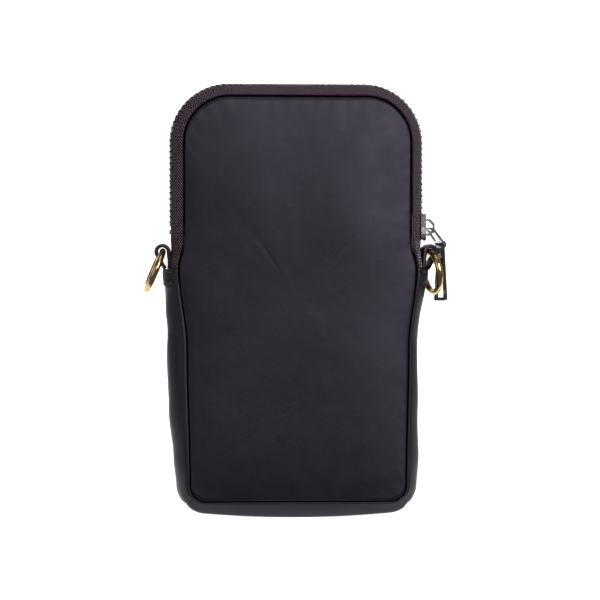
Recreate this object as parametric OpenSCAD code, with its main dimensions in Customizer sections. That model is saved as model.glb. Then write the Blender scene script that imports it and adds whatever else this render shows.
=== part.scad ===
// Upright leather phone pouch with a zip over its top and a ring in a loop at each zip end.
// The back panel faces -Y, the zip runs over +Z, and the bottom gusset stands on Z = 0.

/* [Panel outline] */
// Height of a panel from bottom seam to top seam
panel_h = 172.1; // [160:0.1:185]
// Width between the seams at the foot
foot_w = 92.4; // [88:0.1:96]
// Width between the seams at the waist
waist_w = 94.8; // [90:0.1:98]
// How far the seam at a zip end stands out beyond the seam above it
hip_out = 2.3; // [1.5:0.1:3.5]
// Width between the seams along the zip
top_w = 97.2; // [94:0.1:101]
// Height of the waist above the bottom seam
waist_h = 65; // [55:1:72]
// Height of the zip ends above the bottom seam
zip_end_h = 98.8; // [92:0.1:104]
// Height over which the hips narrow above the zip ends
flare_h = 12; // [10:0.5:14]
// Radius of the top corners at the seam
top_corner_r = 19.6; // [16:0.1:24]
// Radius of the bottom corners at the seam
bottom_corner_r = 7; // [5:0.5:10]

/* [Depth] */
// Distance between the panels at the bottom seam
foot_depth = 22; // [20:0.5:25]
// Distance between the panels at the top seam
top_depth = 19; // [18:0.5:22]
// Height of a panel's crown above its seam
crown = 3.6; // [1:0.1:5]

/* [Layers] */
// Thickness of the leather
leather_t = 1.4; // [1:0.1:1.8]
// Thickness of the padding
padding_t = 1.8; // [1:0.1:2.2]
// Thickness of the lining
lining_t = 0.5; // [0.3:0.1:0.8]

/* [Gusset] */
// Distance that the side gusset bulges beyond the seam
side_bulge = 5.5; // [4.5:0.1:6.5]
// Distance that the bottom gusset hangs below the seam
bottom_bulge = 6.5; // [5.5:0.1:7.5]
// Height of the stitched band that closes a gusset end
band_h = 6.8; // [5:0.1:9]
// Distance that the band stands proud of the gusset
band_proud = 0.4; // [0.2:0.1:0.8]

/* [Zip] */
// Distance from the seam to the middle of the teeth
chain_rise = 4; // [3.6:0.1:4.6]
// Thickness of the tape
tape_t = 0.6; // [0.4:0.1:0.7]
// Radius of the cord in the edge of the tape
bead_r = 0.7; // [0.6:0.05:0.8]
// Distance of that cord from the middle of the zip
bead_y = 2.1; // [2:0.05:2.3]
// Distance from one tooth to the next of the same row
tooth_pitch = 2.5; // [2.4:0.05:2.8]
// Thickness of a tooth along the zip
tooth_t = 1.1; // [0.9:0.05:1.1]
// Height of a tooth square to the zip
tooth_h = 2.6; // [2.4:0.1:2.8]
// Distance that a tooth reaches over the middle
tooth_reach = 0.8; // [0.5:0.1:0.9]
// Thickness of a tooth's leg
tooth_leg = 0.5; // [0.4:0.05:0.55]

/* [Slider] */
// Length of the slider along the zip
slider_l = 11.5; // [10:0.5:12]
// Thickness of each slider plate
plate_t = 1.1; // [0.8:0.1:1.4]
// Width of the bail
bail_w = 1.8; // [1.6:0.1:2]
// Thickness of the bail's strip
bail_t = 0.9; // [0.7:0.1:1.2]
// Room under the bail
bail_room = 3.2; // [3.1:0.1:3.4]

/* [Pull] */
// Distance between the two bars of the pull link
link_l = 8.8; // [8:0.1:10]
// Diameter of the bars of the pull link
link_d = 1.1; // [1:0.05:1.15]
// Width between the arms of the pull link
link_gap = 4.6; // [4:0.1:5.2]
// Turn of the pull about the upright axis
pull_turn = 26; // [20:1:27]
// Angle of the link from hanging straight down
link_lean = 41; // [40:1:50]
// Length of the pull plate
plate_l = 24; // [20:0.5:27]
// Width of the pull plate at its bottom end
plate_w = 8.6; // [7:0.1:9]
// Thickness of the pull plate
pull_t = 1.3; // [1:0.1:1.6]
// Length of the window in the pull plate
window_l = 6.4; // [4:0.1:8]
// Rim round the window
window_rim = 1.5; // [1:0.1:2]

/* [Ring loops and rings] */
// Outside diameter of a ring
ring_d = 20; // [18:0.5:21]
// Diameter of the ring wire
wire_d = 2.8; // [2.4:0.1:3]
// Distance of the loop's centre outside the seam at the zip end
loop_out = 6; // [5.6:0.1:7]
// Height of the loop's centre above the zip end
loop_h = 7.2; // [6.5:0.1:8]
// Radius of the hole in the loop
loop_hole_r = 1.85; // [1.8:0.05:2]
// Thickness of the loop's strip
strip_t = 1.6; // [1.2:0.1:1.7]
// Width of the loop's strip
strip_w = 5; // [4:0.5:5]
// Angle of the left ring from hanging straight down
left_lean = 23; // [22:0.5:30]
// Angle of the right ring from hanging straight down
right_lean = 8.5; // [8:0.5:9.5]
// Turn of the right ring about the upright axis
right_turn = 16; // [12:1:16]

/* [Hidden] */
$fn = 48;
// Gap between sewn layers
layer_gap = 0.1;
// Clearance round a tooth, a tape or a slider wall
fit = 0.25;
// Clearance round a turning pin
pin_fit = 0.08;

hip_w = top_w + 2 * hip_out;
loop_x = hip_w / 2 + loop_out;
// Overrun of a cut
over = 1;
// Step used to measure a slope
probe = 0.01;

seam_z = bottom_bulge;
top_z = seam_z + panel_h;
zip_z = seam_z + zip_end_h;
foot_z = seam_z + bottom_corner_r;
waist_z = seam_z + waist_h;
flare_z = zip_z + flare_h;
shoulder_z = top_z - top_corner_r;
centre_z = seam_z + panel_h / 2;

function mix(a, b, t) = a + (b - a) * t;
function ease(t) = let (c = min(max(t, 0), 1)) c * c * (3 - 2 * c);
function half_depth(z) = mix(foot_depth, top_depth, ease((z - seam_z) / zip_end_h)) / 2;
function half_width(z) =
    z < waist_z ? mix(foot_w, waist_w, ease((z - foot_z) / (waist_z - foot_z))) / 2 :
    z < zip_z ? mix(waist_w, hip_w, ease((z - waist_z) / (zip_z - waist_z))) / 2 :
    mix(hip_w, top_w, ease((z - zip_z) / flare_h)) / 2;

// A spot on the seam line is its x and z, and the x and z of its outward direction
function side_spot(z) =
    let (slope = (half_width(z + probe) - half_width(z - probe)) / (2 * probe), run = norm([1, slope]))
    [half_width(z), z, 1 / run, -slope / run];
function arc_spot(x, z, r, a) = [x + r * cos(a), z + r * sin(a), cos(a), sin(a)];
function flip(spot) = [-spot[0], spot[1], -spot[2], spot[3]];
function backwards(list) = [for (i = [len(list) - 1:-1:0]) list[i]];

side_steps = 10;
corner_steps = 4;
flare_steps = 3;
run_steps = 4;
foot_corner = [for (i = [0:corner_steps]) arc_spot(
    foot_w / 2 - bottom_corner_r, foot_z, bottom_corner_r, mix(-90, 0, i / corner_steps))];
function shoulder_arc(steps) = [for (i = [0:steps]) arc_spot(
    top_w / 2 - top_corner_r, shoulder_z, top_corner_r, mix(0, 90, i / steps))];
shoulder_corner = shoulder_arc(2 * corner_steps);
low_side = [for (i = [1:side_steps]) side_spot(mix(foot_z, zip_z, i / side_steps))];
flare_side = [for (i = [1:flare_steps]) side_spot(mix(zip_z, flare_z, i / flare_steps))];
high_side = [for (i = [1:run_steps - 1]) side_spot(mix(flare_z, shoulder_z, i / run_steps))];
bottom_run = [for (i = [0:run_steps - 1])
    [(foot_w / 2 - bottom_corner_r) * i / run_steps, seam_z, 0, -1]];
top_run = [for (i = [1:run_steps]) [(top_w / 2 - top_corner_r) * (1 - i / run_steps), top_z, 0, 1]];
right_half = concat(bottom_run, foot_corner, low_side, flare_side, high_side, shoulder_corner, top_run);
left_half = [for (i = [len(right_half) - 2:-1:1]) flip(right_half[i])];
seam_line = concat(right_half, left_half);

// Panels and the sheets behind them
sheet_shares = [1, 0.96, 0.86, 0.66, 0.36];
function rise(share) = crown * pow(1 - share * share, 0.6);

// A crowned sheet inside the seam line, its outer face at a depth below the panel's
module crowned_sheet(side, inset, below, thick) {
    n = len(seam_line);
    rings = len(sheet_shares);
    function at(spot, share, down) =
        let (x = (spot[0] - spot[2] * inset) * share, z = mix(centre_z, spot[1] - spot[3] * inset, share))
        [x, side * (half_depth(z) + rise(share) - down), z];
    function face(down) = [for (share = sheet_shares) for (spot = seam_line) at(spot, share, down)];
    points = concat(face(below), face(below + thick),
        [for (down = [below, below + thick]) [0, side * (half_depth(centre_z) + crown - down), centre_z]]);
    far = n * rings;
    tip = 2 * far;
    outer = concat(
        [for (k = [0:rings - 2]) for (i = [0:n - 1]) let (j = (i + 1) % n)
            each [[k * n + i, k * n + j, (k + 1) * n + i], [k * n + j, (k + 1) * n + j, (k + 1) * n + i]]],
        [for (i = [0:n - 1]) [(rings - 1) * n + i, (rings - 1) * n + (i + 1) % n, tip]]);
    inner = [for (f = outer) [for (v = [f[1], f[0], f[2]]) v == tip ? tip + 1 : v + far]];
    rim = [for (i = [0:n - 1]) let (j = (i + 1) % n) each [[j, i, far + i], [j, far + i, far + j]]];
    faces = concat(outer, inner, rim);
    polyhedron(points, side < 0 ? [for (f = faces) [f[1], f[0], f[2]]] : faces, convexity = 6);
}

// A strip swept along spots; each section is a ring of points, depth first and distance from the seam second
module strip(spots, sections) {
    m = len(sections[0]);
    last = len(spots) - 1;
    points = [for (i = [0:last]) for (q = sections[i])
        [spots[i][0] + spots[i][2] * q[1], q[0], spots[i][1] + spots[i][3] * q[1]]];
    walls = [for (i = [0:last - 1]) for (k = [0:m - 1]) let (l = (k + 1) % m, a = i * m, b = a + m)
        each [[a + k, b + k, a + l], [a + l, b + k, b + l]]];
    polyhedron(points, concat(walls, [[for (k = [0:m - 1]) k]],
        [[for (k = [m - 1:-1:0]) last * m + k]]), convexity = 8);
}

// Gussets
gusset_shares = [-1, -0.93, -0.8, -0.58, -0.3, 0, 0.3, 0.58, 0.8, 0.93, 1];
flat_share = 0.58;
function round_form(share) = 1 - pow(abs(share), 2.4);
function flat_form(share) = ease((1 - abs(share)) / (1 - flat_share));
function bulge(share, foot) =
    mix(side_bulge, bottom_bulge, foot) * mix(round_form(share), flat_form(share), foot);
// How far a spot belongs to the bottom, from 0 on a side to 1 below
function foot_share(spot) = ease(-spot[3]);
function wall_section(spot, proud, thick) =
    let (depth = half_depth(spot[1]), foot = foot_share(spot), lift = leather_t + layer_gap)
    let (outer = [for (s = gusset_shares) [depth * s, lift
        + (mix(side_bulge, bottom_bulge, foot) - lift) * bulge(s, foot)
        / mix(side_bulge, bottom_bulge, foot) + proud]])
    concat(outer, [for (q = backwards(outer)) [q[0], q[1] - thick]]);

band_z = zip_z - band_h;
mitre = corner_steps / 2;
side_path = concat([for (i = [mitre:corner_steps]) foot_corner[i]],
    [for (i = [1:side_steps]) side_spot(mix(foot_z, band_z, i / side_steps))]);
bottom_half = concat(bottom_run, [for (i = [0:mitre]) foot_corner[i]]);
bottom_path = concat(backwards([for (i = [1:len(bottom_half) - 1]) flip(bottom_half[i])]), bottom_half);

module side_gusset(path) {
    color("#2a262b") strip(path, [for (spot = path) wall_section(spot, 0, leather_t)]);
}
module gusset_right() { side_gusset(side_path); }
module gusset_left() { mirror([1, 0, 0]) gusset_right(); }
module bottom_gusset() { side_gusset(bottom_path); }

// Lining behind the whole gusset, narrower by the panels' layers
lining_drop = leather_t + padding_t + lining_t + 3 * layer_gap;
module gusset_lining() {
    half = concat(bottom_run, foot_corner, low_side);
    path = concat(backwards([for (i = [1:len(half) - 1]) flip(half[i])]), half);
    sections = [for (spot = path) let (wall = wall_section(spot, 0, leather_t),
        room = 1 - lining_drop / half_depth(spot[1]), n = len(gusset_shares))
        let (outer = [for (i = [0:n - 1]) [wall[i][0] * room, wall[i][1] - leather_t - layer_gap]])
        concat(outer, [for (q = backwards(outer)) [q[0], q[1] - lining_t]])];
    color("#4c4650") strip(path, sections);
}

// Stitched band that closes the gusset end, with a wall across its top
band_cap = 0.9;
band_path = [for (z = [band_z + layer_gap, mix(band_z, zip_z, 0.5), zip_z - 2 * band_cap]) side_spot(z)];
cap_path = [for (z = [zip_z - band_cap, zip_z]) side_spot(z)];
function cap_section(spot) = let (wall = wall_section(spot, band_proud, leather_t), n = len(gusset_shares))
    concat([for (i = [0:n - 1]) wall[i]],
        [for (i = [n - 1:-1:0]) [wall[i][0], layer_gap * (2 - pow(gusset_shares[i], 2))]]);
module zip_end_band_right() {
    color("#2a262b") strip(concat(band_path, cap_path), concat(
        [for (spot = band_path) wall_section(spot, band_proud, leather_t)],
        [for (spot = cap_path) cap_section(spot)]));
}
module zip_end_band_left() { mirror([1, 0, 0]) zip_end_band_right(); }

// Zip tapes: from the seam up to the cord that the teeth hold, dipping towards the zip ends
end_rise = 1.3;
tape_shares = [1, 0.75, 0.4, 0.02];
bead_angles = [60, 120, 180, 240, 300];
function tape_rise(z) = mix(end_rise, chain_rise, ease(pow(min(max((z - zip_z) / flare_h, 0), 1), 1.4)));
function tape_section(spot, side) =
    let (depth = half_depth(spot[1]), top = tape_rise(spot[1]), root = tape_t / 2 + layer_gap,
        edge = bead_y + bead_r)
    let (mid = [for (s = tape_shares) [mix(edge, depth, s), mix(root, top, 1 - pow(s, 2.2))]])
    let (ring = concat([for (q = mid) [q[0], q[1] + tape_t / 2]],
        [for (a = bead_angles) [bead_y + bead_r * cos(a), top + bead_r * sin(a)]],
        [for (q = backwards(mid)) [q[0], q[1] - tape_t / 2]]))
    side > 0 ? backwards(ring) : [for (q = ring) [-q[0], q[1]]];
tape_half = concat([side_spot(zip_z + fit)], flare_side, [high_side[1]], shoulder_arc(3 * corner_steps),
    [top_run[1], top_run[3]]);
tape_path = concat(tape_half, [for (i = [len(tape_half) - 2:-1:0]) flip(tape_half[i])]);
module zip_tape(side) {
    color("#3d3039") strip(tape_path, [for (spot = tape_path) tape_section(spot, side)]);
}
module zip_tape_back() { zip_tape(-1); }
module zip_tape_front() { zip_tape(1); }

// Teeth: rows that interleave by half a pitch along straight sides, round corners and a straight top
chain_x = top_w / 2 + chain_rise;
chain_r = top_corner_r + chain_rise;
chain_z = flare_z + slider_l * 0.4;
run_up = shoulder_z - chain_z;
run_arc = PI * chain_r / 2;
run_top = top_w - 2 * top_corner_r;
chain_l = 2 * run_up + 2 * run_arc + run_top;
// Place and heading at a distance along the chain from its right end
function chain_at(s) =
    s > chain_l / 2 ? let (p = chain_at(chain_l - s)) [-p[0], p[1], -p[2]] :
    s < run_up ? [chain_x, chain_z + s, 0] :
    s < run_up + run_arc ? let (a = (s - run_up) / run_arc * 90)
        [chain_x - chain_r + chain_r * cos(a), shoulder_z + chain_r * sin(a), a] :
    [chain_x - chain_r - (s - run_up - run_arc), shoulder_z + chain_r, 90];
// Puts a child, drawn with its outward side along X and the zip along Z, on the chain
module on_chain(s) {
    p = chain_at(s);
    flipped = s > chain_l / 2;
    translate([p[0], 0, p[1]]) rotate([0, flipped ? 180 - p[2] : -p[2], 0]) children();
}
leg_y = bead_y + bead_r + fit;
pocket = tooth_h / 2 - tooth_leg;
module tooth_profile() {
    slit = tape_t / 2 + layer_gap;
    neck_y = bead_y - bead_r - layer_gap;
    nose = tooth_h / 4;
    back_y = 0.3 * tooth_reach;
    half = [[nose, tooth_reach], [tooth_h / 2, back_y], [tooth_h / 2, -leg_y], [slit, -leg_y],
        [slit, -bead_y - bead_r - layer_gap], [pocket, -bead_y - bead_r - layer_gap], [pocket, -neck_y]];
    polygon(concat(half, [for (q = backwards(half)) [-q[0], q[1]]]));
}
tooth_count = floor(chain_l / tooth_pitch) - 1;
module teeth(side) {
    start = (chain_l - tooth_count * tooth_pitch) / 2 + (side > 0 ? tooth_pitch / 2 : 0);
    color("#6b6560") for (i = [0:tooth_count - (side > 0 ? 1 : 0)])
        on_chain(start + i * tooth_pitch)
            translate([0, 0, -tooth_t / 2]) linear_extrude(tooth_t) scale([1, -side]) tooth_profile();
}
module zip_teeth_back() { teeth(-1); }
module zip_teeth_front() { teeth(1); }

// Stops: a clamp on each cord at the right end, and one bar over both at the left end
stop_l = 1.8;
stop_reach = 1;
module stop_clamp(side) {
    rotate([side > 0 ? 180 : 0, 0, 0]) translate([0, 0, -stop_l / 2]) linear_extrude(stop_l) difference() {
        translate([-tooth_h / 2, -leg_y]) square([tooth_h, leg_y - stop_reach]);
        translate([-pocket, -bead_y - bead_r - layer_gap]) square([2 * pocket, 2 * (bead_r + layer_gap)]);
        translate([-tape_t / 2 - layer_gap, -leg_y - over])
            square([tape_t + 2 * layer_gap, leg_y + over - bead_y]);
    }
}
stop_z = chain_z - stop_l * 0.6;
module top_stops() {
    color("#8c8a86") translate([chain_x, 0, stop_z]) {
        stop_clamp(1);
        stop_clamp(-1);
    }
}
module bottom_stop() {
    color("#8c8a86") translate([-chain_x, 0, stop_z]) {
        stop_clamp(1);
        stop_clamp(-1);
        translate([-tooth_h / 2, -stop_reach, -stop_l / 2]) cube([tooth_h, 2 * stop_reach, stop_l]);
    }
}

// Slider: two plates joined by a diamond, with flanges that hold the teeth
slider_z = flare_z + slider_l / 2;
channel = tooth_h + 2 * fit;
slider_in = channel / 2;
slider_out = slider_in + plate_t;
tail_w = 2 * (leg_y + fit + plate_t);
shoulder_w = tail_w + 1.6;
slot_t = tape_t / 2 + fit;
slider_chamfer = plate_t;
module slider_outline(inset) {
    half_l = slider_l / 2 - inset;
    tail = tail_w / 2 - inset;
    wide = shoulder_w / 2 - inset;
    half = [[half_l, tail - slider_chamfer], [half_l - slider_chamfer, tail], [0, tail],
        [-half_l / 2, wide], [slider_chamfer - half_l, wide - slider_chamfer / 2],
        [-half_l, tail - 2 * slider_chamfer]];
    polygon(concat(half, [for (q = backwards(half)) [q[0], -q[1]]]));
}
diamond_l = slider_l * 0.3;
diamond_w = 1.3;
module slider_body() {
    color("#c9c9cc") translate([chain_x, 0, slider_z]) rotate([0, 90, 0]) rotate([0, 0, 180]) {
        for (z = [-slider_out, slider_in]) translate([0, 0, z]) linear_extrude(plate_t) slider_outline(0);
        translate([-slider_l / 2 + diamond_l / 2 + plate_t, 0, -slider_in]) linear_extrude(channel)
            polygon([[-diamond_l / 2, 0], [0, -diamond_w / 2], [diamond_l / 2, 0], [0, diamond_w / 2]]);
        difference() {
            translate([0, 0, -slider_in]) linear_extrude(channel) difference() {
                slider_outline(0);
                slider_outline(plate_t);
                for (x = [-1, 1]) translate([x * slider_l / 2, 0])
                    square([slider_l * 0.4, 2 * leg_y + 2 * fit], center = true);
            }
            translate([0, 0, mix(-slider_in, slot_t, 0.5)])
                cube([slider_l + over, shoulder_w + over, slider_in + slot_t], center = true);
        }
    }
}

// Bail: an arch on the outer plate that carries the link
bail_l = slider_l * 0.62;
bail_foot_x = chain_x + slider_out;
bail_h = bail_room + bail_t;
module arch(l, h) {
    slope = h * 0.45;
    polygon([[0, -l / 2], [h - slope, -l / 2], [h, -l / 2 + slope], [h, l / 2 - slope],
        [h - slope, l / 2], [0, l / 2]]);
}
module slider_bail() {
    color("#c9c9cc") translate([bail_foot_x, bail_w / 2, slider_z]) rotate([90, 0, 0])
        linear_extrude(bail_w) difference() {
            arch(bail_l, bail_h);
            translate([-over, 0]) arch(bail_l - 2 * bail_t, bail_h - bail_t + over);
        }
}

// Pull link: two arms and two bars, hanging from the bail
bar_share = 0.61;
bar_x = bail_foot_x + bar_share * bail_room;
bar_z = slider_z - bail_l / 2 + bail_t + link_d / 2 + 6 * fit;
// Draws a child in the link's own frame: X outward, Y along the bars, hanging down along -Z
module in_link() {
    translate([bar_x, 0, bar_z]) rotate([0, 0, pull_turn]) rotate([0, -link_lean, 0]) children();
}
arm_t = link_d;
arm_y = link_gap / 2 + arm_t / 2;
top_arm_y = bail_w + arm_t / 2;
module arm_end(y, z) {
    translate([0, y, z]) rotate([90, 0, 0]) cylinder(d = link_d, h = arm_t, center = true);
}
module pull_link() {
    color("#c9c9cc") in_link() {
        rotate([90, 0, 0]) cylinder(d = link_d, h = 2 * top_arm_y, center = true);
        translate([0, 0, -link_l]) rotate([90, 0, 0]) cylinder(d = link_d, h = 2 * arm_y, center = true);
        for (side = [-1, 1]) hull() {
            arm_end(side * top_arm_y, 0);
            arm_end(side * arm_y, -link_l);
        }
    }
}

// Pull plate: an eye round the lower bar, and a tapered plate with a window
reach = link_l * sin(link_lean);
plate_x = bar_x + reach * cos(pull_turn);
plate_y = reach * sin(pull_turn);
plate_z = bar_z - link_l * cos(link_lean);
eye_r = link_d / 2 + pin_fit + 0.75 * pull_t;
eye_w = link_gap - 2 * fit;
module pull_plate() {
    neck_w = eye_w;
    round_r = 0.5;
    color("#b9b9bd") translate([plate_x, plate_y, plate_z]) rotate([0, 0, pull_turn]) difference() {
        union() {
            rotate([90, 0, 0]) cylinder(r = eye_r, h = eye_w, center = true);
            rotate([90, 0, 90]) linear_extrude(pull_t, center = true) difference() {
                polygon([[-neck_w / 2, 0], [neck_w / 2, 0], [plate_w / 2, -plate_l + round_r],
                    [plate_w / 2 - round_r, -plate_l], [round_r - plate_w / 2, -plate_l],
                    [-plate_w / 2, -plate_l + round_r]]);
                translate([0, window_rim - plate_l]) polygon([
                    [window_rim - plate_w / 2, 0], [plate_w / 2 - window_rim, 0],
                    [plate_w / 2 - window_rim * 1.2, window_l], [window_rim * 1.2 - plate_w / 2, window_l]]);
            }
        }
        rotate([90, 0, 0]) cylinder(d = link_d + 2 * pin_fit, h = eye_w + over, center = true);
    }
}

// Ring loops: a strip turned round a hole, with a foot that stands on the band
loop_r = loop_hole_r + strip_t;
loop_z = zip_z + loop_h;
foot_x = hip_w / 2 + side_bulge * 0.7;
module ring_loop(turn) {
    foot = foot_x - loop_x;
    drop = loop_h - layer_gap;
    outline = concat([for (a = [-20:20:200]) [loop_r * cos(a), loop_r * sin(a)]],
        [[foot - strip_t, -drop], [foot + strip_t, -drop]]);
    color("#262328") translate([loop_x, 0, loop_z]) rotate([0, 0, turn]) translate([0, strip_w / 2, 0])
        rotate([90, 0, 0]) linear_extrude(strip_w) difference() {
            polygon(outline);
            circle(r = loop_hole_r);
        }
}
module ring_loop_right() { ring_loop(right_turn); }
module ring_loop_left() { mirror([1, 0, 0]) ring_loop(0); }

// Rings: round wire, hanging from a loop
ring_mid = (ring_d - wire_d) / 2;
wire_shift = (ring_mid - sqrt(ring_mid * ring_mid - strip_w * strip_w / 4)) / 2;
module ring(turn, lean) {
    color("#d9b25c") translate([loop_x, 0, loop_z]) rotate([0, 0, turn]) rotate([0, -lean, 0])
        translate([0, 0, wire_shift - ring_mid]) rotate([0, 90, 0])
            rotate_extrude() translate([ring_mid, 0]) circle(d = wire_d);
}
module ring_left() { mirror([1, 0, 0]) ring(0, left_lean); }
module ring_right() { ring(right_turn, right_lean); }

module back_panel() { color("#2f2e36") crowned_sheet(-1, 0, 0, leather_t); }
module front_panel() { color("#2f2e36") crowned_sheet(1, 0, 0, leather_t); }
padding_below = leather_t + layer_gap;
module back_padding() { color("#8a8478") crowned_sheet(-1, leather_t, padding_below, padding_t); }
module front_padding() { color("#8a8478") crowned_sheet(1, leather_t, padding_below, padding_t); }
lining_below = padding_below + padding_t + layer_gap;
module back_lining() { color("#4c4650") crowned_sheet(-1, leather_t, lining_below, lining_t); }
module front_lining() { color("#4c4650") crowned_sheet(1, leather_t, lining_below, lining_t); }

back_panel();
front_panel();
back_padding();
front_padding();
back_lining();
front_lining();
gusset_left();
gusset_right();
bottom_gusset();
gusset_lining();
zip_tape_back();
zip_tape_front();
zip_teeth_back();
zip_teeth_front();
top_stops();
bottom_stop();
zip_end_band_left();
zip_end_band_right();
ring_loop_left();
ring_loop_right();
ring_left();
ring_right();
slider_body();
slider_bail();
pull_link();
pull_plate();
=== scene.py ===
import math

import bpy
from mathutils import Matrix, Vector, noise


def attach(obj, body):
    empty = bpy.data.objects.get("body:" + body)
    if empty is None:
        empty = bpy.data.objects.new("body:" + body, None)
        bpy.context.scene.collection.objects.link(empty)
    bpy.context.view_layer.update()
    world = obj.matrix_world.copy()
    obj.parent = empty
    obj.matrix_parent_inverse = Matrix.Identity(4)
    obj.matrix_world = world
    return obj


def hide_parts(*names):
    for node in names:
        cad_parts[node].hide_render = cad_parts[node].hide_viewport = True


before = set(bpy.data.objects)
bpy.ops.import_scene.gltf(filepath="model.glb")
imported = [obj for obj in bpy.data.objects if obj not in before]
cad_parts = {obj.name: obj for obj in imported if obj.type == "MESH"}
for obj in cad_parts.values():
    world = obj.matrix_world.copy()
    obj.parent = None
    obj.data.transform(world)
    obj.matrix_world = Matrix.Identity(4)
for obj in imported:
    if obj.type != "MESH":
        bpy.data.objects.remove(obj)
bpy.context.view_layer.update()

MM = 0.001

# Sizes of the pouch in millimetres, the same as the frame's
BOTTOM_BULGE, SIDE_BULGE = 6.5, 5.5
PANEL_H = 172.1
FOOT_W, WAIST_W, HIP_W, TOP_W = 92.4, 94.8, 101.8, 97.2
WAIST_H, ZIP_END_H, FLARE_H = 65.0, 98.8, 12.0
TOP_CORNER_R, BOTTOM_CORNER_R = 19.6, 7.0
FOOT_DEPTH, TOP_DEPTH, CROWN = 22.0, 19.0, 3.6
LEATHER_T, TAPE_T = 1.4, 0.6
BEAD_R, BEAD_Y = 0.7, 2.1
CHAIN_RISE, END_RISE = 4.0, 2.4
BAND_H, BAND_PROUD = 6.8, 0.4
LOOP_X, LOOP_H, LOOP_HOLE_R, STRIP_T, STRIP_W = 56.9, 7.2, 1.85, 1.6, 5.0
PADDING_DEPTH, LINING_T = 3.4, 0.5
LINING_DROP = 4.4
PANEL_SHEET_T = 1.0
RIGHT_TURN = 16.0

SEAM_Z = BOTTOM_BULGE
TOP_Z = SEAM_Z + PANEL_H
ZIP_Z = SEAM_Z + ZIP_END_H
FOOT_Z = SEAM_Z + BOTTOM_CORNER_R
WAIST_Z = SEAM_Z + WAIST_H
SHOULDER_Z = TOP_Z - TOP_CORNER_R
CENTRE_Z = SEAM_Z + PANEL_H / 2
BAND_Z = ZIP_Z - BAND_H


def mix(a, b, t):
    return a + (b - a) * t


def side_word(side):
    return "right" if side > 0 else "left"


def ease(t):
    c = min(max(t, 0.0), 1.0)
    return c * c * (3 - 2 * c)


def half_depth(z):
    return mix(FOOT_DEPTH, TOP_DEPTH, ease((z - SEAM_Z) / ZIP_END_H)) / 2


def half_width(z):
    if z < WAIST_Z:
        return mix(FOOT_W, WAIST_W, ease((z - FOOT_Z) / (WAIST_Z - FOOT_Z))) / 2
    if z < ZIP_Z:
        return mix(WAIST_W, HIP_W, ease((z - WAIST_Z) / (ZIP_Z - WAIST_Z))) / 2
    return mix(HIP_W, TOP_W, ease((z - ZIP_Z) / FLARE_H)) / 2


# A spot on the seam line: x, z and the outward direction there
def side_spot(z, probe=0.01):
    slope = (half_width(z + probe) - half_width(z - probe)) / (2 * probe)
    run = math.hypot(1, slope)
    return (half_width(z), z, 1 / run, -slope / run)


def arc_spots(x, z, r, a0, a1, steps):
    spots = []
    for i in range(steps + 1):
        a = math.radians(mix(a0, a1, i / steps))
        spots.append((x + r * math.cos(a), z + r * math.sin(a), math.cos(a), math.sin(a)))
    return spots


def flip(spot):
    return (-spot[0], spot[1], -spot[2], spot[3])


FOOT_CORNER = arc_spots(FOOT_W / 2 - BOTTOM_CORNER_R, FOOT_Z, BOTTOM_CORNER_R, -90, 0, 16)
SHOULDER = arc_spots(TOP_W / 2 - TOP_CORNER_R, SHOULDER_Z, TOP_CORNER_R, 0, 90, 28)


def side_run(z0, z1, steps):
    return [side_spot(mix(z0, z1, i / steps)) for i in range(1, steps + 1)]


def straight_run(z, up, half_w, steps, rising):
    order = range(steps) if rising else range(1, steps + 1)
    return [(half_w * (i / steps if rising else 1 - i / steps), z, 0, up) for i in order]


BOTTOM_RUN = straight_run(SEAM_Z, -1, FOOT_W / 2 - BOTTOM_CORNER_R, 24, True)
TOP_RUN = straight_run(TOP_Z, 1, TOP_W / 2 - TOP_CORNER_R, 18, False)
RIGHT_HALF = (BOTTOM_RUN + FOOT_CORNER + side_run(FOOT_Z, ZIP_Z, 46) + side_run(ZIP_Z, SHOULDER_Z, 26)
              + SHOULDER[1:] + TOP_RUN)
SEAM_LINE = RIGHT_HALF + [flip(s) for s in RIGHT_HALF[-2:0:-1]]


# Camera: level, far away, and turned a little so that the left side shows more
FRAME_PX, PX_PER_MM = 600, 2.351
ORIGIN_PX, FLOOR_PX = 296, 516.5
CAMERA_YAW = math.radians(5.5)
CAMERA_AWAY = 1.7
SENSOR = 36.0
target_z = (FLOOR_PX - FRAME_PX / 2) / PX_PER_MM * MM
cam = bpy.data.cameras.new("camera")
cam_obj = bpy.data.objects.new("camera", cam)
bpy.context.collection.objects.link(cam_obj)
cam.sensor_width = SENSOR
cam.lens = SENSOR * CAMERA_AWAY / (FRAME_PX / PX_PER_MM * MM)
cam.shift_x = (FRAME_PX / 2 - ORIGIN_PX) / FRAME_PX
cam_obj.location = (-math.sin(CAMERA_YAW) * CAMERA_AWAY, -math.cos(CAMERA_YAW) * CAMERA_AWAY, target_z)
cam_obj.rotation_euler = (math.radians(90), 0, -CAMERA_YAW)
bpy.context.scene.camera = cam_obj
bpy.context.scene.view_settings.view_transform = "Standard"


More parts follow.
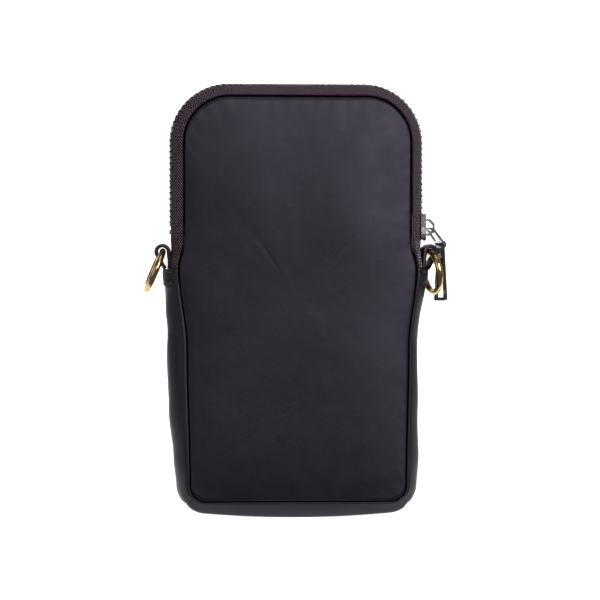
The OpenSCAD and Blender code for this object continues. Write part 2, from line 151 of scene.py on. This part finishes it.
# Materials: colours are linear, noise scales are per metre and bump distances are metres
class Shader:
    """A principled material with short helpers for its nodes."""

    def __init__(self, name, color, rough, metal=0.0):
        self.mat = bpy.data.materials.new(name)
        self.mat.use_nodes = True
        self.tree = self.mat.node_tree
        self.bsdf = self.tree.nodes["Principled BSDF"]
        self.bsdf.inputs["Base Color"].default_value = (*color, 1)
        self.bsdf.inputs["Roughness"].default_value = rough
        self.bsdf.inputs["Metallic"].default_value = metal
        self.coords = self.node("ShaderNodeTexCoord")

    def node(self, kind, **values):
        made = self.tree.nodes.new(kind)
        for key, value in values.items():
            setattr(made, key, value)
        return made

    def link(self, a, b):
        self.tree.links.new(a, b)

    def noise(self, scale, detail=4.0, rough=0.6, source="Object"):
        made = self.node("ShaderNodeTexNoise")
        made.inputs["Scale"].default_value = scale
        made.inputs["Detail"].default_value = detail
        made.inputs["Roughness"].default_value = rough
        self.link(self.coords.outputs[source], made.inputs["Vector"])
        return made.outputs["Fac"]

    def cells(self, scale):
        made = self.node("ShaderNodeTexVoronoi", feature="DISTANCE_TO_EDGE")
        made.inputs["Scale"].default_value = scale
        self.link(self.coords.outputs["Object"], made.inputs["Vector"])
        return made.outputs["Distance"]

    def math(self, kind, a, b=None):
        made = self.node("ShaderNodeMath", operation=kind)
        for i, value in enumerate((a, b)):
            if value is None:
                continue
            if isinstance(value, (int, float)):
                made.inputs[i].default_value = value
            else:
                self.link(value, made.inputs[i])
        return made.outputs[0]

    def ramp(self, fac, stops):
        made = self.node("ShaderNodeValToRGB")
        while len(made.color_ramp.elements) < len(stops):
            made.color_ramp.elements.new(0.5)
        for element, (at, value) in zip(made.color_ramp.elements, stops):
            element.position = at
            element.color = (value, value, value, 1) if isinstance(value, float) else (*value, 1)
        self.link(fac, made.inputs["Fac"])
        return made.outputs["Color"]

    def bump(self, height, strength, distance):
        made = self.node("ShaderNodeBump")
        made.inputs["Strength"].default_value = strength
        made.inputs["Distance"].default_value = distance
        self.link(height, made.inputs["Height"])
        if self.bsdf.inputs["Normal"].is_linked:
            self.link(self.bsdf.inputs["Normal"].links[0].from_socket, made.inputs["Normal"])
        self.link(made.outputs["Normal"], self.bsdf.inputs["Normal"])


def leather(name, low, high, rough, grain=1500.0, coat=0.0):
    s = Shader(name, low, rough)
    s.link(s.ramp(s.noise(28, 3), [(0.35, low), (0.7, high)]), s.bsdf.inputs["Base Color"])
    s.link(s.ramp(s.noise(90, 5), [(0.3, rough - 0.05), (0.7, rough + 0.07)]), s.bsdf.inputs["Roughness"])
    s.bump(s.cells(grain), 0.12, 0.00012)
    s.bump(s.noise(420, 6, 0.7), 0.22, 0.0002)
    s.bump(s.noise(60, 4), 0.12, 0.0012)
    s.bsdf.inputs["Specular IOR Level"].default_value = 0.42
    s.bsdf.inputs["Specular Tint"].default_value = (0.86, 0.80, 1.0, 1)
    s.bsdf.inputs["Coat Weight"].default_value = coat
    s.bsdf.inputs["Coat Roughness"].default_value = 0.35
    return s.mat


def woven_tape():
    """Herringbone tape: rows of small V ribs that run along the zip."""
    s = Shader("zip_tape_weave", (0.06, 0.036, 0.05), 0.85)
    split = s.node("ShaderNodeSeparateXYZ")
    s.link(s.coords.outputs["UV"], split.inputs[0])
    row_w, rib_pitch, thread_pitch, turn = 2.0, 1.35, 0.3, 2 * math.pi
    across = s.math("PINGPONG", split.outputs[1], row_w)
    phase = s.math("MULTIPLY", s.math("ADD", split.outputs[0], across), turn / rib_pitch)
    ribs = s.math("MULTIPLY", s.math("ADD", s.math("SINE", phase), 1.0), 0.5)
    thread = s.math("SINE", s.math("MULTIPLY", split.outputs[1], turn / thread_pitch))
    height = s.math("ADD", ribs, s.math("MULTIPLY", thread, 0.12))
    # The colour follows the rib height: rib crests are painted lighter as painted highlight and the troughs
    # darker as painted shade, and the noise adds random tone
    rib_highlight_and_shade = s.math("ADD", s.math("MULTIPLY", ribs, 0.75), s.math("MULTIPLY", s.noise(900, 3), 0.35))
    stops = [(0.2, (0.002, 0.001, 0.002)), (0.5, (0.026, 0.010, 0.022)), (0.78, (0.084, 0.038, 0.068)),
             (0.9, (0.34, 0.25, 0.31))]
    s.link(s.ramp(rib_highlight_and_shade, stops), s.bsdf.inputs["Base Color"])
    s.bsdf.inputs["Specular IOR Level"].default_value = 0.15
    s.bump(height, 1.0, 0.0004)
    s.bsdf.inputs["Sheen Weight"].default_value = 0.05
    return s.mat


def metal(name, low, high, rough, scratch=0.05):
    s = Shader(name, high, rough, 1.0)
    s.link(s.ramp(s.noise(260, 4), [(0.3, low), (0.62, high)]), s.bsdf.inputs["Base Color"])
    s.link(s.ramp(s.noise(700, 5), [(0.3, rough * 0.8), (0.7, rough * 1.3)]), s.bsdf.inputs["Roughness"])
    s.bump(s.noise(1600, 3), scratch, 0.00005)
    return s.mat


def fabric(name, low, high):
    s = Shader(name, low, 0.9)
    s.link(s.ramp(s.noise(1400, 2), [(0.3, low), (0.7, high)]), s.bsdf.inputs["Base Color"])
    s.bump(s.noise(1800, 2), 0.3, 0.0001)
    return s.mat


def thread_material(name, low, high):
    s = Shader(name, low, 0.55)
    s.link(s.ramp(s.noise(2500, 2), [(0.3, low), (0.7, high)]), s.bsdf.inputs["Base Color"])
    s.bump(s.noise(3000, 2), 0.4, 0.00008)
    return s.mat


PANEL_LEATHER = leather("panel_leather", (0.009, 0.0075, 0.011), (0.015, 0.0125, 0.019), 0.42)
GUSSET_LEATHER = leather("gusset_leather", (0.009, 0.0075, 0.009), (0.015, 0.013, 0.015), 0.42)
STRAP_LEATHER = leather("strap_leather", (0.007, 0.007, 0.009), (0.014, 0.014, 0.018), 0.36, coat=0.2)
TAPE_WEAVE = woven_tape()
TEETH_METAL = metal("teeth_metal", (0.035, 0.03, 0.029), (0.17, 0.15, 0.145), 0.36)
NICKEL = metal("nickel", (0.70, 0.69, 0.70), (0.88, 0.87, 0.88), 0.16)
# The pull plate's metal is the slider's nickel painted much darker: a painted dark reflection on the plate's
# front, not a finish of its own
PAINTED_DARK_NICKEL = metal("nickel_painted_dark", (0.20, 0.19, 0.20), (0.36, 0.35, 0.37), 0.10)
GOLD = metal("gold", (0.50, 0.32, 0.12), (0.76, 0.52, 0.24), 0.14)
LINING = fabric("lining_cloth", (0.05, 0.045, 0.055), (0.09, 0.08, 0.095))
THREAD = thread_material("thread", (0.03, 0.027, 0.03), (0.13, 0.12, 0.125))
LIGHT_THREAD = thread_material("light_thread", (0.35, 0.33, 0.36), (0.7, 0.68, 0.7))


# Mesh helpers
def build(name, verts, faces, mat, body="pouch", slot=None, uvs=None):
    data = bpy.data.meshes.new(name)
    data.from_pydata([Vector(v) * MM for v in verts], [], faces)
    if uvs:
        layer = data.uv_layers.new(name="along")
        for loop in data.loops:
            layer.data[loop.index].uv = uvs[loop.vertex_index]
    data.materials.append(mat)
    for poly in data.polygons:
        poly.use_smooth = True
    data.validate()
    obj = bpy.data.objects.new(name, data)
    bpy.context.collection.objects.link(obj)
    bpy.context.view_layer.objects.active = obj
    obj.select_set(True)
    bpy.ops.object.mode_set(mode="EDIT")
    bpy.ops.mesh.select_all(action="SELECT")
    bpy.ops.mesh.normals_make_consistent(inside=False)
    bpy.ops.object.mode_set(mode="OBJECT")
    obj.select_set(False)
    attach(obj, body)
    return obj


def quads_between(rings, m):
    """Four-sided faces between neighbouring rings of m points each."""
    return [(k * m + i, k * m + (i + 1) % m, (k + 1) * m + (i + 1) % m, (k + 1) * m + i)
            for k in range(rings - 1) for i in range(m)]


def ring_face(ring, m):
    return tuple(ring * m + i for i in range(m))


def swept(spots, section):
    """Points and faces of a closed section, (depth, out) pairs from section(spot, i), carried along spots."""
    rings = [section(spot, i) for i, spot in enumerate(spots)]
    m = len(rings[0])
    verts = []
    for spot, ring in zip(spots, rings):
        verts += [(spot[0] + spot[2] * out, depth, spot[1] + spot[3] * out) for depth, out in ring]
    return verts, quads_between(len(spots), m) + [ring_face(0, m), ring_face(len(spots) - 1, m)]


def across(outer):
    """Width of a strip in metres, measured over its outer side."""
    return sum(math.dist(a, b) for a, b in zip(outer, outer[1:])) * MM


def lengths(spots):
    total, out = 0.0, [0.0]
    for a, b in zip(spots, spots[1:]):
        total += math.hypot(b[0] - a[0], b[1] - a[1])
        out.append(total)
    return out


# Panels: a crowned sheet whose edge turns in at the seam, with soft dents and creases
# EDGE holds (out, depth) from the seam line, DENTS (x, z, reach in x, reach in z, height)
# and CREASES (x, z, reach, depth, slope), in millimetres apart from the slope
EDGE = [(0.45, -3.6), (0.1, -2.7), (-0.5, -1.6), (-0.62, -0.4), (-0.85, 0.3)]
PANEL_SHARES = [0.974, 0.969, 0.961, 0.948, 0.928, 0.90, 0.865, 0.82, 0.77, 0.71, 0.64, 0.56, 0.47, 0.37,
                0.26, 0.14]
DENTS = [(-12, 60, 34, 26, -0.5), (24, 122, 15, 50, 0.75), (-26, 142, 20, 30, 0.3), (6, 100, 40, 16, -0.35),
         (28, 40, 18, 30, 0.25), (-30, 96, 14, 24, -0.3)]
CREASES = [(2, 111, 24, 0.16, 0.5), (10, 106, 20, 0.12, 0.9), (-6, 116, 16, 0.10, -0.4),
           (14, 117, 18, 0.09, 0.2), (-18, 30, 20, 0.06, 0.5)]
CREASE_HALF_W, CREASE_TILT, CREASE_BEND = 0.8, 0.12, 0.004
# Soft waves of the leather: height, rate in x, rate in z and step of the seed
SOFT_WAVES = [(0.28, 0.035, 0.03, 0), (0.06, 0.16, 0.14, 3)]
CROWN_POWER, LINING_POWER = 0.62, 0.6
PILLOW_HALF_W, PILLOW_HALF_H, PILLOW_POWER = 48, 86, 2.6
PUCKER, PUCKER_TURN = 0.05, 0.9
SEAM_LENGTHS = lengths(SEAM_LINE)


def softness(x, z, seed):
    lift = sum(h * math.exp(-((x - cx) / rx) ** 2 - ((z - cz) / rz) ** 2) for cx, cz, rx, rz, h in DENTS)
    for h, x_rate, z_rate, step in SOFT_WAVES:
        lift += h * noise.noise(Vector((x * x_rate, seed + step, z * z_rate)))
    for cx, cz, reach, h, tilt in CREASES:
        along = x - cx
        off = z - cz - tilt * CREASE_TILT * along - CREASE_BEND * along ** 2
        lift -= h * math.exp(-(off / CREASE_HALF_W) ** 2) * max(0.0, 1 - (along / reach) ** 2)
    return lift


# How much nearer the edge a spot counts towards a corner, so that no ridge runs to the corners
def pillow(x, z, share):
    across_part = abs(x / PILLOW_HALF_W) ** PILLOW_POWER
    up_part = abs((z - CENTRE_Z) / PILLOW_HALF_H) ** PILLOW_POWER
    reach = (across_part + up_part) ** (1 / PILLOW_POWER)
    return 1 + (reach - 1) * (1 - share ** 4)


def panel(name, side, *nodes):
    seed = 1.0 if side < 0 else 9.0
    n = len(SEAM_LINE)
    verts = []
    for out, depth in EDGE:
        for x, z, nx, nz in SEAM_LINE:
            verts.append((x + nx * out, side * (half_depth(z) + depth), z + nz * out))
    for share in PANEL_SHARES:
        for x, z, nx, nz in SEAM_LINE:
            rise = CROWN * (1 - min(share * pillow(x, z, share), 1) ** 2) ** CROWN_POWER
            px, pz = x * share, mix(CENTRE_Z, z, share)
            soft = softness(px * -side, pz, seed) * ease((1 - share) / 0.12)
            wave = math.sin(SEAM_LENGTHS[len(verts) % n] * PUCKER_TURN)
            pucker = PUCKER * wave * ease((share - 0.9) / 0.07)
            verts.append((px, side * (half_depth(pz) + rise + soft + pucker), pz))
    verts.append((0, side * (half_depth(CENTRE_Z) + CROWN + softness(0, CENTRE_Z, seed)), CENTRE_Z))
    rings = len(EDGE) + len(PANEL_SHARES)
    faces = quads_between(rings, n)
    faces += [((rings - 1) * n + i, (rings - 1) * n + (i + 1) % n, rings * n) for i in range(n)]
    obj = build(name, verts, faces, PANEL_LEATHER, slot="leather")
    thick = obj.modifiers.new("thickness", "SOLIDIFY")
    thick.thickness = PANEL_SHEET_T * MM
    thick.offset = -1
    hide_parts(*nodes)


panel("back_panel_leather", -1, "back_panel", "back_padding")
panel("front_panel_leather", 1, "front_panel", "front_padding")


# Gussets: bulged strips whose edges turn in at the seams
ACROSS_SHARES = [-1.0 + 2.0 * i / 30 for i in range(31)]
SEAM_LIFT, SEAM_GAP, SEAM_SINK = 0.55, 0.1, 0.05
GUSSET_SOFTNESS, EDGE_DIP, MITRE_DIP = 0.32, 0.5, 0.45
DIP_FROM_SHARE, DIP_RUN_SHARE, INNER_SHARE = 0.94, 0.06, 0.97


def foot_share(spot):
    return ease(-spot[3])


def bulge(share, foot):
    round_form = 1 - abs(share) ** 2.4
    flat_form = ease((1 - abs(share)) / 0.42)
    return mix(round_form, flat_form, foot)


# How far the soft gusset stands out at each height, on the left and on the right, and under the foot
LEFT_FORM = [(6, 4.6), (12, 4.7), (26, 5.9), (45, 7.2), (71, 7.6), (85, 6.8), (98, 5.5), (106, 5.5)]
RIGHT_FORM = [(6, 4.9), (12, 5.2), (26, 6.0), (45, 5.1), (71, 4.4), (85, 4.3), (98, 4.9), (106, 5.3)]
FOOT_SAG, FOOT_SAG_REACH = 1.0, 30


def stands_out(spot):
    form = LEFT_FORM if spot[0] < 0 else RIGHT_FORM
    for (z0, a), (z1, b) in zip(form, form[1:]):
        if spot[1] <= z1:
            side = mix(a, b, ease((spot[1] - z0) / (z1 - z0)))
            break
    under = BOTTOM_BULGE - FOOT_SAG * (spot[0] / FOOT_SAG_REACH) ** 2
    return mix(side, under, foot_share(spot))


def gusset_section(spot, i, thick=LEATHER_T, proud=0.0, seed=0.0):
    depth, foot = half_depth(spot[1]), foot_share(spot)
    top = stands_out(spot)
    outer = []
    for share in ACROSS_SHARES:
        soft = GUSSET_SOFTNESS * noise.noise(Vector((spot[0] * 0.05, share * 1.3 + seed, spot[1] * 0.05)))
        soft *= (1 - abs(share)) * (1 - foot)
        edge = -EDGE_DIP * ease((abs(share) - DIP_FROM_SHARE) / DIP_RUN_SHARE)
        out = SEAM_LIFT + (top - SEAM_LIFT) * bulge(share, foot) + proud + soft + edge
        outer.append(((depth - SEAM_GAP) * share, out))
    inner = [(d * INNER_SHARE, max(o - thick, -SEAM_SINK)) for d, o in reversed(outer)]
    return outer + inner


MITRE = len(FOOT_CORNER) // 2
UNDER_BAND = 0.8
SIDE_PATH = FOOT_CORNER[MITRE:] + side_run(FOOT_Z, BAND_Z + UNDER_BAND, 60)
BOTTOM_HALF = BOTTOM_RUN + FOOT_CORNER[:MITRE + 1]
BOTTOM_PATH = [flip(s) for s in BOTTOM_HALF[:0:-1]] + BOTTOM_HALF


def at_mitre(i, last, both=False):
    """How far a spot is from a mitre seam, as the dip of a sewn edge."""
    near = min(i, last - i) if both else i
    return -MITRE_DIP * max(0.0, 1 - near / 2.0)


def gusset(name, spots, node, seed, both=False):
    last = len(spots) - 1

    def section(spot, i):
        return gusset_section(spot, i, proud=at_mitre(i, last, both), seed=seed)

    verts, faces = swept(spots, section)
    obj = build(name, verts, faces, GUSSET_LEATHER, slot="leather")
    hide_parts(node)
    width = across(section(spots[last // 2], last // 2)[:len(ACROSS_SHARES)])
    lengths(spots)[-1] * MM


gusset("side_gusset_right_leather", SIDE_PATH, "gusset_right", 2.0)
gusset("side_gusset_left_leather", [flip(s) for s in SIDE_PATH], "gusset_left", 5.0)
gusset("bottom_gusset_leather", BOTTOM_PATH, "bottom_gusset", 7.0, both=True)


# Zip end bands: a folded band across each gusset end, sewn with two rows
BAND_OVERHANG = 0.2
BAND_PATH = side_run(BAND_Z - BAND_OVERHANG, ZIP_Z, 22)
STITCH_ROWS = (BAND_Z + 1.1, ZIP_Z - 1.4)
ROW_HALF_W, ROW_DIP = 0.35, 0.22
FOLD_H, FOLD_T = 0.9, 4.6
STITCHES_PER_ROW, STITCH_SHARE, ROW_END_SHARE = 9, 0.13, 0.86


def band(side):
    def section(spot, i):
        fold = ease((spot[1] - (ZIP_Z - FOLD_H)) / FOLD_H)
        rows = sum(math.exp(-((spot[1] - row) / ROW_HALF_W) ** 2) for row in STITCH_ROWS)
        proud = BAND_PROUD * (1 - 0.5 * fold) - ROW_DIP * rows
        return gusset_section(spot, i, thick=mix(LEATHER_T, FOLD_T, fold), proud=proud, seed=3.0)

    spots = BAND_PATH if side > 0 else [flip(s) for s in BAND_PATH]
    verts, faces = swept(spots, section)
    node = f"zip_end_band_{side_word(side)}"
    obj = build(f"{node}_leather", verts, faces, GUSSET_LEATHER, slot="leather")
    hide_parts(node)
    width = across(section(spots[0], 0)[:len(ACROSS_SHARES)])
    2 * lengths(spots)[-1] * MM


band(1)
band(-1)

# Stitches: (place along, share of the radius) of each ring of one short thread
THREAD_RINGS = [(-0.5, 0.25), (-0.42, 0.8), (0.0, 1.0), (0.42, 0.8), (0.5, 0.25)]
THREAD_SIDES, THREAD_R, FINE_THREAD_R = 8, 0.26, 0.18
THREAD_SINK, THREAD_LIFT = 0.02, 0.04


def stitches(name, lines, radius=THREAD_R, mat=THREAD):
    """Short threads, each a small capsule between two points given in millimetres."""
    verts, faces = [], []
    sides, rings = THREAD_SIDES, len(THREAD_RINGS)
    for a, b in lines:
        a, b = Vector(a), Vector(b)
        axis = b - a
        u = axis.orthogonal().normalized()
        v = axis.normalized().cross(u)
        start = len(verts)
        for t, r in THREAD_RINGS:
            for k in range(sides):
                ang = 2 * math.pi * k / sides
                p = (a + b) / 2 + axis * t + (u * math.cos(ang) + v * math.sin(ang)) * radius * r
                verts.append(tuple(p))
        one = quads_between(rings, sides) + [ring_face(0, sides), ring_face(rings - 1, sides)]
        faces += [tuple(start + corner for corner in face) for face in one]
    return build(name, verts, faces, mat, slot="strap_leather")


def on_band(side, row, share):
    spot = side_spot(row)
    top = stands_out((side * spot[0], row, side * spot[2], spot[3]))
    out = SEAM_LIFT + (top - SEAM_LIFT) * bulge(share, 0) + BAND_PROUD - THREAD_SINK
    return (side * (spot[0] + spot[2] * out), half_depth(row) * share, spot[1] + spot[3] * out)


for side in (1, -1):
    lines = []
    for row in STITCH_ROWS:
        for i in range(STITCHES_PER_ROW):
            share = mix(-ROW_END_SHARE, ROW_END_SHARE, (i + 0.15) / STITCHES_PER_ROW)
            lines.append((on_band(side, row, share), on_band(side, row, share + STITCH_SHARE)))
    stitches(f"band_stitches_{side_word(side)}", lines)


# Zip tapes
def tape_rise(z):
    t = min(max((z - ZIP_Z) / FLARE_H, 0.0), 1.0)
    return mix(END_RISE, CHAIN_RISE, ease(t ** 1.4))


TAPE_SHARES = [1.02, 0.96, 0.88, 0.78, 0.67, 0.55, 0.42, 0.3, 0.18, 0.08]
BEAD_ANGLES = [70, 105, 140, 180, 220, 255, 290]
TAPE_EDGE_Y, TAPE_ROOT, TAPE_GAP = BEAD_Y + BEAD_R * 0.6, TAPE_T / 2 + 0.1, 0.2
TAPE_WAVE, TAPE_WAVE_RATE, TAPE_START_GAP = 0.12, 0.08, 1.5
TAPE_HALF = side_run(ZIP_Z - TAPE_START_GAP, SHOULDER_Z, 50) + SHOULDER[1:] + TOP_RUN
TAPE_PATH = TAPE_HALF + [flip(s) for s in TAPE_HALF[-2::-1]]


def tape(side, node):
    far = lengths(TAPE_PATH)
    uvs = []

    def section(spot, i):
        depth, top = half_depth(spot[1]) - TAPE_GAP, tape_rise(spot[1])
        wave = TAPE_WAVE * noise.noise(Vector((far[i] * TAPE_WAVE_RATE, side * 4.0, 0.5)))
        mid = [(mix(TAPE_EDGE_Y, depth, s), mix(TAPE_ROOT, top, 1 - min(s, 1) ** 2.0) + wave * s)
               for s in TAPE_SHARES]
        ring = [(d, o + TAPE_T / 2) for d, o in mid]
        ring += [(BEAD_Y + BEAD_R * math.cos(math.radians(a)), top + BEAD_R * math.sin(math.radians(a)))
                 for a in BEAD_ANGLES]
        ring += [(d, o - TAPE_T / 2) for d, o in reversed(mid)]
        run = 0.0
        for k, (d, o) in enumerate(ring):
            if k:
                run += math.hypot(d - ring[k - 1][0], o - ring[k - 1][1])
            uvs.append((far[i], run))
        return [(side * d, o) for d, o in ring]

    verts, faces = swept(TAPE_PATH, section)
    obj = build(f"{node}_woven", verts, faces, TAPE_WEAVE, slot="tape", uvs=uvs)
    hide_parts(node)


tape(-1, "zip_tape_back")
tape(1, "zip_tape_front")


# Small light stitches that hold the tapes down above the right zip end
TACK_STEPS, TACK_PITCH, TACK_START, TACK_L = 10, 1.15, 0.7, 0.5
TACK_SHARES = (0.86, 0.68, 0.5)


def on_tape(side, z, share):
    spot, top = side_spot(z), tape_rise(z)
    out = mix(TAPE_ROOT, top, 1 - share ** 2) + TAPE_T / 2 + THREAD_LIFT
    depth = mix(TAPE_EDGE_Y, half_depth(z) - TAPE_GAP, share)
    return (spot[0] + spot[2] * out, side * depth, z + spot[3] * out)


for side, word in ((1, "front"), (-1, "back")):
    lines = []
    for i in range(TACK_STEPS):
        z = ZIP_Z + TACK_START + TACK_PITCH * i
        for row, share in enumerate(TACK_SHARES):
            # Every fifth stitch is left out, so that the rows look worked by hand
            if (i * 3 + row * 2) % 5:
                lines.append((on_tape(side, z, share), on_tape(side, z + TACK_L, share - 0.03)))
    stitches(f"tape_end_stitches_{word}", lines, radius=FINE_THREAD_R, mat=LIGHT_THREAD)


# Ring loops: a strip that rises from the band, turns round the hole and comes back down
# STRIP_SECTION holds (share of the width, share of the thickness) with rounded corners
STRIP_SECTION = [(-0.5, -0.32), (-0.47, -0.46), (-0.42, -0.5), (0.42, -0.5), (0.47, -0.46), (0.5, -0.32),
                 (0.5, 0.32), (0.47, 0.46), (0.42, 0.5), (-0.42, 0.5), (-0.47, 0.46), (-0.5, 0.32)]
TURN_FROM, TURN_TO, TURN_STEPS = 190, -42, 26
LOOP_FOOT_SHARE, BACK_FOOT_SHARE = 0.7, 0.62
LOOP_LIFT, RISE_STEP, RISE_STEPS = 0.1, 0.9, 5


def ring_loop(side, turn):
    mid_r = LOOP_HOLE_R + STRIP_T / 2
    foot_x, loop_z = HIP_W / 2 + SIDE_BULGE * LOOP_FOOT_SHARE, ZIP_Z + LOOP_H
    path = [(foot_x - STRIP_T / 2, ZIP_Z + LOOP_LIFT + RISE_STEP * i) for i in range(RISE_STEPS)]
    for i in range(TURN_STEPS + 1):
        a = math.radians(mix(TURN_FROM, TURN_TO, i / TURN_STEPS))
        path.append((LOOP_X + mid_r * math.cos(a), loop_z + mid_r * math.sin(a)))
    end = (foot_x + STRIP_T * BACK_FOOT_SHARE, ZIP_Z + LOOP_LIFT)
    path += [(mix(path[-1][0], end[0], t), mix(path[-1][1], end[1], t)) for t in (0.25, 0.5, 0.75, 1.0)]
    m, verts = len(STRIP_SECTION), []
    for i, (x, z) in enumerate(path):
        a, b = path[max(i - 1, 0)], path[min(i + 1, len(path) - 1)]
        run = math.hypot(b[0] - a[0], b[1] - a[1])
        nx, nz = (b[1] - a[1]) / run, -(b[0] - a[0]) / run
        for w, t in STRIP_SECTION:
            away, depth = x + nx * t * STRIP_T - LOOP_X, w * STRIP_W
            verts.append((side * (LOOP_X + away * math.cos(turn) - depth * math.sin(turn)),
                          away * math.sin(turn) + depth * math.cos(turn), z + nz * t * STRIP_T))
    faces = quads_between(len(path), m) + [ring_face(0, m), ring_face(len(path) - 1, m)]
    node = f"ring_loop_{side_word(side)}"
    obj = build(f"{node}_strap", verts, faces, STRAP_LEATHER, slot="strap_leather")
    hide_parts(node)


ring_loop(1, math.radians(RIGHT_TURN))
ring_loop(-1, 0.0)


# Lining inside: a cloth bag just under the padding
LINING_SHARES = [0.97, 0.92, 0.82, 0.66, 0.45, 0.2]


def lining(name, side, node):
    n, verts = len(SEAM_LINE), []
    for share in LINING_SHARES:
        rise = CROWN * (1 - share * share) ** LINING_POWER
        for x, z, nx, nz in SEAM_LINE:
            pz = mix(CENTRE_Z, z, share)
            verts.append((x * share, side * (half_depth(pz) + rise - PADDING_DEPTH), pz))
    faces = quads_between(len(LINING_SHARES), n) + [ring_face(len(LINING_SHARES) - 1, n)]
    obj = build(name, verts, faces, LINING, slot="lining")
    thick = obj.modifiers.new("thickness", "SOLIDIFY")
    thick.thickness = LINING_T * MM
    thick.offset = -1
    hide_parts(node)


lining("back_lining_cloth", -1, "back_lining")
lining("front_lining_cloth", 1, "front_lining")

LINING_INSET, LINING_TOP_GAP = 0.2, 0.6
LINING_HALF = BOTTOM_RUN + FOOT_CORNER + side_run(FOOT_Z, ZIP_Z - LINING_TOP_GAP, 60)
LINING_PATH = [flip(s) for s in LINING_HALF[:0:-1]] + LINING_HALF
LINING_ACROSS_SHARES = ACROSS_SHARES[::3]
WAIST_SPOT = side_spot(WAIST_Z)


def gusset_lining():
    def section(spot, i):
        depth = half_depth(spot[1]) - LINING_DROP
        outer = [(depth * share, -LINING_INSET) for share in LINING_ACROSS_SHARES]
        return outer + [(d, o - LINING_T) for d, o in reversed(outer)]

    obj = build("gusset_lining_cloth", *swept(LINING_PATH, section), LINING, slot="lining")
    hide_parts("gusset_lining")
    width = across(section(WAIST_SPOT, 0)[:len(LINING_ACROSS_SHARES)])
    lengths(LINING_PATH)[-1] * MM


gusset_lining()


# Finishes of the pieces that keep their shape from the frame; the pull plate gets a darker copy of the
# slider's nickel, as painted shade
FINISHES = {"zip_teeth_back": TEETH_METAL, "zip_teeth_front": TEETH_METAL, "top_stops": TEETH_METAL,
            "bottom_stop": TEETH_METAL, "slider_body": NICKEL, "slider_bail": NICKEL, "pull_link": NICKEL,
            "pull_plate": PAINTED_DARK_NICKEL, "ring_left": GOLD, "ring_right": GOLD}
for node, mat in FINISHES.items():
    for mat_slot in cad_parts[node].material_slots:
        mat_slot.material = mat


# Floor, backdrop and light
def plane(name, corners, color, glow):
    data = bpy.data.meshes.new(name)
    data.from_pydata(corners, [], [(0, 1, 2, 3)])
    s = Shader(name, color, 0.8)
    s.bsdf.inputs["Emission Color"].default_value = (1, 1, 1, 1)
    s.bsdf.inputs["Emission Strength"].default_value = glow
    data.materials.append(s.mat)
    obj = bpy.data.objects.new(name, data)
    bpy.context.collection.objects.link(obj)


# The floor starts under the pouch, so that little of its light reaches the leather in front
STAGE_COLOR = (0.8, 0.8, 0.8)
FLOOR_X, FLOOR_Y, FLOOR_GLOW = 0.8, -0.0125, 0.9
WALL_X, WALL_Y, WALL_LOW, WALL_HIGH, WALL_GLOW = 1.2, 1.6, -0.5, 1.2, 1.0
plane("floor", [(-FLOOR_X, FLOOR_Y, 0), (FLOOR_X, FLOOR_Y, 0), (FLOOR_X, WALL_Y, 0), (-FLOOR_X, WALL_Y, 0)],
      STAGE_COLOR, FLOOR_GLOW)
plane("backdrop", [(-WALL_X, WALL_Y, WALL_LOW), (WALL_X, WALL_Y, WALL_LOW), (WALL_X, WALL_Y, WALL_HIGH),
                   (-WALL_X, WALL_Y, WALL_HIGH)], STAGE_COLOR, WALL_GLOW)


def area(name, place, aim, size, power):
    light = bpy.data.lights.new(name, "AREA")
    light.shape = "RECTANGLE"
    light.size, light.size_y = size
    light.energy = power
    obj = bpy.data.objects.new(name, light)
    bpy.context.collection.objects.link(obj)
    obj.location = place
    obj.rotation_euler = (Vector(aim) - Vector(place)).to_track_quat("-Z", "Y").to_euler()


# Each light: name, place, aim, size and power, in metres and watts
MIDDLE, UPPER_PANEL = (0, 0, 0.1), (0, 0, 0.13)
area("key", (0.62, -1.1, 0.6), MIDDLE, (0.3, 0.8), 8.0)
area("fill", (-1.1, -0.7, 0.4), MIDDLE, (0.5, 0.9), 1.6)
area("top", (0.1, -0.35, 1.1), MIDDLE, (0.7, 0.5), 0.9)
area("front", (0.15, -1.9, 0.75), UPPER_PANEL, (1.3, 0.6), 6.9)
WORLD_COLOR, WORLD_STRENGTH = (0.9, 0.92, 1.0, 1), 0.12
world = bpy.data.worlds.new("dim_room")
world.use_nodes = True
world.node_tree.nodes["Background"].inputs["Color"].default_value = WORLD_COLOR
world.node_tree.nodes["Background"].inputs["Strength"].default_value = WORLD_STRENGTH
bpy.context.scene.world = world
